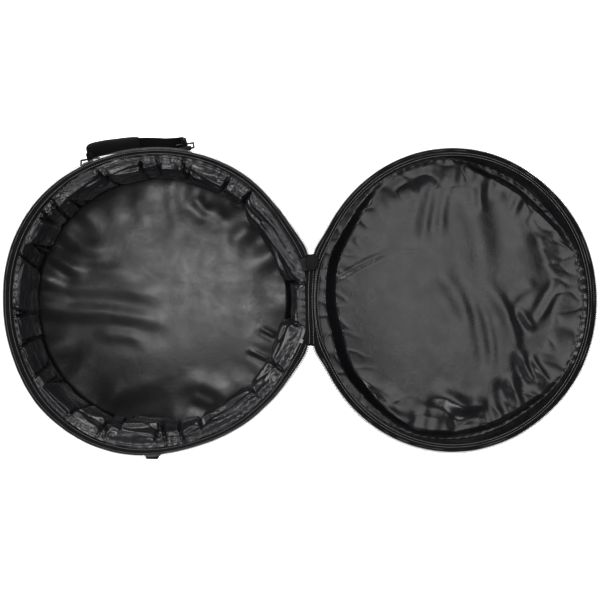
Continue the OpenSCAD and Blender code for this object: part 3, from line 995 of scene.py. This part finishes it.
def lid_lining():
    """Glossy lining over the lid's padding: a puffed panel in a shadowed groove, widest beside the hinge."""
    x, y = disc_grid(155)
    th = np.arctan2(y, x)
    stretch = 1 + 0.012 * hinge_near(th + math.pi) * smooth(0.955, 1.0, np.hypot(x, y))
    a, b = LID_LINING_R * x * stretch, LID_LINING_R * y * stretch
    r = LID_LINING_R * np.hypot(x, y)
    flat = np.stack([a, b, 0 * a], axis=-1)
    wander = ripples(71, 8, 0.05, 0.2)(base_place(0.26, th, 0))
    hinge_side = smooth(0.25, 0.95, -np.cos(th - 0.12))
    top_side = hump(np.cos(th - math.radians(58)), 1, 0.12)
    low_side = hump(np.cos(th + math.radians(75)), 1, 0.16)
    gap = 0.003 + 0.029 * hinge_side + 0.016 * top_side + 0.012 * low_side + 0.003 * wander * hinge_side
    deep = 0.012 + 0.036 * hinge_side + 0.020 * top_side + 0.020 * low_side
    free = np.clip(1 - 1.2 * hinge_side - 0.7 * top_side - 0.7 * low_side, 0, 1)
    climb = 0.014 * smooth(0.21, 0.272, r) * free
    d = LID_LINING_R - r
    wall = smooth(0, 0.0035 + 0.006 * deep / 0.046, d)
    shoulder = smooth(gap * 0.80, gap + 0.012, d)
    w = -0.0050 - (deep - 0.0050) * wall
    w = w + (-0.0225 - 0.004 * (r / 0.25) ** 2 + climb - w) * shoulder
    w = w + 0.0016 * ripples(72, 8, 0.14, 0.4)(flat) * shoulder
    for start, end, width, height, bend in LID_FOLDS:
        w = w + 0.6 * fold(a, b, start, end, 1.2 * width, height, bend) * shoulder
    edge = smooth(0.19, 0.245, r)
    pull = ripples(73, 14, 0.022, 0.06)(base_place(0.26, th, 0.15 * r))
    w = w + 0.0022 * pull * edge * (0.35 + 0.65 * np.clip(top_side + low_side, 0, 1)) * shoulder
    w = w + 0.0014 * (ridged(ripples(74, 14, 0.03, 0.09)(flat), 2.6) - 0.3) * edge
    start = np.stack([a, b, w], axis=-1)

    rest = start * np.array([1.022, 1.022, 1.15])
    sewn = np.clip(1 - smooth(0.002, 0.008, d), 0, 1)
    p = settle(start, rest, sewn, 24, 0.009)
    p = doubled(doubled(p, 0, False), 1, False)
    th2 = np.arctan2(p[..., 1], p[..., 0])
    d2 = LID_LINING_R + 0.0033 * hinge_near(th2 + math.pi) - np.hypot(p[..., 0], p[..., 1])
    ruffle = 0.0009 * np.sin(th2 * 95) * hump(d2, 0.004, 0.005)
    ob = surface("lid_lining_satin", lid_place(p[..., 0], p[..., 1], p[..., 2] + ruffle))
    dress(ob, "satin_lid", "lid", "lid_lining")


def lid_shell():
    """The lid's outside: a padded top panel with a rolled edge, and the side wall up to the zip."""
    rows, cols = 90, 720
    theta = turned(cols)[None, :]
    edge_r = 0.016
    corner = LID_BODY_R - edge_r
    q = np.linspace(0, 1, rows)[:, None]
    flat_len, arc_len = corner, edge_r * math.pi / 2
    wall_h = LID_D - edge_r - 0.004
    total = flat_len + arc_len + wall_h
    run = q ** 0.8 * total
    on_arc = np.clip((run - flat_len) / arc_len, 0, 1) * math.pi / 2
    up = np.clip(run - flat_len - arc_len, 0, wall_h)
    r = np.minimum(run, flat_len) + edge_r * np.sin(on_arc) + 0.009 * up / wall_h
    w = -LID_D + edge_r * (1 - np.cos(on_arc)) + up
    r = np.maximum(r, 0.0005)
    p = base_place(r, theta, w)
    slack = ripples(81, 10, 0.10, 0.30)(p)
    pull = ripples(82, 12, 0.03, 0.09)(p)
    on_wall = smooth(flat_len, flat_len + arc_len, run)
    inner = 1 - on_wall
    r = r + on_wall * (1 - smooth(0.8, 1, up / wall_h)) * 0.0010 * slack
    w = w + inner * (0.0006 * np.abs(slack) + 0.0005 * ridged(pull, 2.2))
    shell = surface("lid_shell", lid_polar(r, theta, w), wrap_cols=True)
    add_thickness(shell, 0.0012, 1)
    dress(shell, "nylon", "lid", "lid_top_panel", "lid_wall_shell")

    blocks = []
    for r0 in (0.214, 0.218):
        def path(t, r0=r0):
            th = t * 2 * math.pi
            return lid_polar(r0, th, -LID_D - 0.0012)
        blocks += stitch_row(path, 2 * math.pi * r0, thick=0.00045, lift=0.0)
    dress(many("lid_top_stitches", blocks, caps=True), "dark_thread", "lid")


# ---------------------------------------------------------------- hinge
def hinge_line(y, share):
    """Points from the base's rim, at share 0, to the lid's rim, at share 1, beside the hinge."""
    phi = np.arcsin(np.clip(y / 0.2915, -1, 1))
    near = base_place(RIM_R - 0.0035 + rim_shift(phi), phi, 0)
    theta = math.pi - np.arcsin(np.clip(y / 0.2925, -1, 1))
    far = lid_polar(ring_radius(LID_R - 0.0045, theta), theta, 0)
    x = near[..., 0] + (far[..., 0] - near[..., 0]) * share
    return x, near[..., 1] + (far[..., 1] - near[..., 1]) * share


def hinge_cloth():
    """Bound cloth that joins the two rims along the hinge, with two rows of stitches, and the black end tab."""
    low, high = -0.084, 0.084
    y = np.linspace(low, high, 110)[None, :]
    u = np.linspace(-0.12, 1.12, 21)[:, None]
    x, y = hinge_line(y + 0 * u, u)
    lump = ripples(91, 8, 0.012, 0.05)(np.stack([x, y, 0 * x], axis=-1))
    inside = np.clip(1 - np.abs(2 * u - 1), 0, 1)
    z = TAPE_TOP - 0.0012 - 0.0012 * inside + 0.0007 * lump * inside
    cloth = surface("hinge_cloth", np.stack([x, y, z], axis=-1))
    add_thickness(cloth, 0.0012)
    apply_modifiers(cloth)
    dress(cloth, "tape", None, "hinge_strip")
    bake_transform(cloth)

    blocks = []
    for share in (0.2, 0.85):
        def path(t, share=share):
            xx, yy = hinge_line(low + 0.004 + t * (high - low - 0.008), share)
            return np.stack([xx, yy, TAPE_TOP - 0.0006 + 0 * yy], axis=-1)
        blocks += stitch_row(path, high - low, thick=0.0005, lift=0.0006)
    rows_of_thread = dress(many("hinge_stitches", blocks, caps=True), "thread")
    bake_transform(rows_of_thread)

    rows, cols = 22, 48
    q = np.linspace(0.02, 1, rows)[:, None]
    a = turned(cols)[None, :]
    px = HINGE.x + 0.0010 + 0.0118 * q * squared(np.cos(a), 0.8)
    py = 0.0690 + 0.0138 * q * squared(np.sin(a), 0.85)
    pz = TAPE_TOP + 0.0012 + 0.0036 * np.sqrt(np.clip(1 - q ** 3, 0, 1)) + 0 * a
    tab = surface("zip_end_tab", np.stack([px, py, pz], axis=-1), wrap_cols=True)
    add_thickness(tab, 0.0016)
    apply_modifiers(tab)
    dress(tab, "rubber")
    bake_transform(tab)


# ---------------------------------------------------------------- handle and side tabs
DROOP = math.radians(45)
STRAP_W = 0.028
ROUTE = [(0, 20), (-3, 26), (-3, 34), (4, 41), (16, 43), (34, 44), (52, 43), (70, 42), (90, 40), (112, 36),
         (132, 30), (150, 24), (168, 21), (None, 20)]


def handle_frame():
    joint = JOINT["handle_swing"]
    origin = np.array(joint["pos_m"])
    along = np.array(joint["axis"], float)
    along /= np.linalg.norm(along)
    level = np.cross([0, 0, 1.0], along)
    out = level * math.cos(DROOP) - np.array([0, 0, 1.0]) * math.sin(DROOP)
    across = np.cross(along, out)
    return origin, along, out, across


def smooth_path(points, count):
    """A Catmull-Rom curve through the points, resampled evenly."""
    p = np.array(points, float)
    ext = np.vstack([2 * p[0] - p[1], p, 2 * p[-1] - p[-2]])
    out = []
    for i in range(1, len(ext) - 2):
        for t in np.linspace(0, 1, 12, endpoint=False):
            a, b, c, d = ext[i - 1:i + 3]
            out.append(0.5 * (2 * b + (c - a) * t + (2 * a - 5 * b + 4 * c - d) * t ** 2
                              + (3 * b - a - 3 * c + d) * t ** 3))
    out.append(p[-1])
    out = np.array(out)
    run = np.concatenate([[0], np.cumsum(np.linalg.norm(np.diff(out, axis=0), axis=1))])
    at = np.linspace(0, run[-1], count)
    return np.stack([np.interp(at, run, out[:, i]) for i in range(out.shape[1])], axis=-1)


def side_normals(path2):
    """Unit normals of a flat path."""
    t = np.gradient(path2, axis=0)
    t /= np.linalg.norm(t, axis=1)[:, None]
    return np.stack([-t[:, 1], t[:, 0]], axis=-1)


def band_mesh(path2, half_t, half_w, section, power):
    """A flat band swept along a route in the handle's frame, with rounded edges."""
    origin, along, out, across = handle_frame()
    n = side_normals(path2)
    a = turned(section)
    cs, sn = squared(np.cos(a), power), squared(np.sin(a), power)
    half_t = np.broadcast_to(half_t, (len(path2),))[:, None]
    half_w = np.broadcast_to(half_w, (len(path2),))[:, None]
    side = half_t * cs[None, :]
    wide = half_w * sn[None, :]
    flat = path2[:, None, :] + side[:, :, None] * n[:, None, :]
    return origin + flat[..., 0:1] * along + flat[..., 1:2] * out + wide[..., None] * across


def handle():
    origin, along, out, across = handle_frame()
    cad_strap = frame["nodes"]["handle_strap"].data.vertices
    length = max((np.array(v.co) - origin) @ along for v in cad_strap) - 0.013
    route = [((length if x is None else x / 1000), y / 1000) for x, y in ROUTE]
    path2 = smooth_path(route, 150)
    strap = band_mesh(path2, 0.0013, STRAP_W / 2, 20, 0.4)
    blocks = [strap]
    turn = np.linspace(0.5 * math.pi, 2.45 * math.pi, 22)
    for x in (0, length):
        loop = np.stack([x + 0.0044 * np.cos(turn), 0.0150 + 0.0044 * np.sin(turn)], axis=-1)
        blocks.append(band_mesh(loop, 0.0009, STRAP_W / 2 - 0.001, 12, 0.4))
    dress(many("handle_webbing", blocks, caps=True), "webbing", "handle", "handle_strap")

    keep = (path2[:, 1] > 0.0385) | ((path2[:, 0] < 0.005) & (path2[:, 1] > 0.033))
    grip_path = path2[keep]
    u = np.linspace(0, 1, len(grip_path))
    swell = np.sqrt(np.clip(1 - np.abs(2 * u - 1) ** 7, 0, 1))
    half_t = 0.0022 + 0.0036 * swell
    half_w = STRAP_W / 2 + 0.0005 + 0.0022 * swell
    roundness = 0.75
    grip = band_mesh(grip_path, half_t, half_w, 40, roundness)
    ob = many("handle_padding", [grip], caps=True)
    dress(ob, "grip", "handle", "handle_grip")

    # The grip closes with an overlapping flap along its lower edge, edge-stitched.
    blocks = []
    point = np.arange(len(grip_path))
    for level in (0.4, -0.55):
        for t0, t1 in stitch_places(0.085):
            idx = np.clip(np.linspace(t0, t1, 5), 0, 1) * (len(grip_path) - 9) + 4
            pp = np.stack([np.interp(idx, point, grip_path[:, i]) for i in (0, 1)], axis=-1)
            ht = np.interp(idx, point, half_t)
            off = ht * (1 - abs(level) ** (1 / roundness * 1.6)) ** 0.5 + 0.0002
            p = origin + pp[:, 0:1] * along + (pp[:, 1] + off)[:, None] * out + level * 0.0165 * across
            blocks.append(tube(p, np.array([0.3, 0.5, 0.5, 0.5, 0.3]) * 0.001))
    dress(many("handle_grip_stitches", blocks, caps=True), "dark_thread", "handle")


def side_tab(name, deg, width, out, z, high, thick, node, lean=0.0):
    """A folded loop of webbing sewn to the wall: out from the wall, round, and back."""
    a = math.radians(deg)
    radial = np.array([math.cos(a), math.sin(a), 0])
    tangent = np.array([-math.sin(a), math.cos(a), 0])
    base_r = wall_radius(z) - 0.0005
    turn = np.linspace(-math.pi / 2, math.pi / 2, 14)
    lane = [(-0.006, -thick), (0.0, -thick), (out * 0.5, -thick * 1.1)]
    lane += [(out - thick + thick * math.cos(t), thick * math.sin(t)) for t in turn]
    lane += [(out * 0.5, thick * 1.1), (0.0, thick), (-0.006, thick)]
    lane = smooth_path(lane, 48)
    nn = side_normals(lane)
    c = turned(16)
    cs, sn = squared(np.cos(c), 0.4), squared(np.sin(c), 0.4)
    slant = smooth(0, out, lane[:, 0])
    flat = lane[:, None, :] + 0.0009 * cs[None, :, None] * nn[:, None, :]
    wide = (width / 2) * sn[None, :] * (1 - lean * slant)[:, None] + lean * width * 0.30 * slant[:, None]
    p = (radial * (base_r + flat[..., 0:1]) + np.array([0, 0, 1.0]) * (z + flat[..., 1:2] * high)
         - tangent * wide[..., None])
    dress(many(name, [p], caps=True), "webbing", "base", node)


def patches():
    """Box-stitch threads on the handle's patches, which are CAD pieces."""
    blocks = []
    for node in ("handle_patch_left", "handle_patch_right"):
        lo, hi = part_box(node)
        mid = math.atan2((lo.y + hi.y) / 2, (lo.x + hi.x) / 2)
        half = math.radians(4.1)
        r = max(math.hypot(v.co.x, v.co.y) for v in frame["nodes"][node].data.vertices) + 0.0002
        z0, z1 = lo.z + 0.005, hi.z - 0.005
        corners = [(mid - half, z0), (mid + half, z0), (mid + half, z1), (mid - half, z1)]
        corners.append(corners[0])
        cross = [(mid - half, z0), (mid + half, z0 + 0.036), (mid - half, z0 + 0.036), (mid + half, z0)]
        for line in (corners, cross):
            for (a0, h0), (a1, h1) in zip(line, line[1:]):
                length = math.hypot((a1 - a0) * r, h1 - h0)

                def path(t, a0=a0, h0=h0, a1=a1, h1=h1, r=r):
                    aa = a0 + (a1 - a0) * t
                    return base_place(r, aa, h0 + (h1 - h0) * t)
                blocks += stitch_row(path, length, thick=0.0005, lift=0.0)
    dress(many("patch_stitches", blocks, caps=True), "thread", "base")


# The zip end stop shares the coil's colour, which is painted highlight.
CAD_MATERIAL = {
    "zip_end_stop": "coil", "handle_patch_left": "webbing", "handle_patch_right": "webbing",
    "handle_tab_left": "webbing", "handle_tab_right": "webbing", "handle_ring_left": "ring_metal",
    "handle_ring_right": "ring_metal", "zip_slider": "enamel", "zip_slider_pin": "steel", "zip_pull": "rubber",
}


def finish_cad():
    for node, name in CAD_MATERIAL.items():
        ob = frame["nodes"][node]
        ob.data.materials.clear()
        ob.data.materials.append(MAT[name])


camera_and_light()
base_shell()
base_bottom()
rope("base_piping", 0.267, 0.007, 0.0038, "piping", "base", "base_floor_piping")
base_zip()
wall_lining()
gather_seam()
floor_lining()
foam_pads()
lid_zip()
lid_binding()
lid_lining()
lid_shell()
rope("lid_piping", LID_BODY_R + 0.0030, -LID_D + 0.022, 0.0030, "piping", "lid", "lid_edge_piping", lid_polar)
hinge_cloth()
handle()
side_tab("side_webbing_loop", -104, 0.020, 0.0150, 0.125, 1.0, 0.0035, "side_loop")
side_tab("side_webbing_tab", -92, 0.042, 0.0215, 0.125, 2.0, 0.0045, "side_strap_tab", 0.45)
patches()
finish_cad()
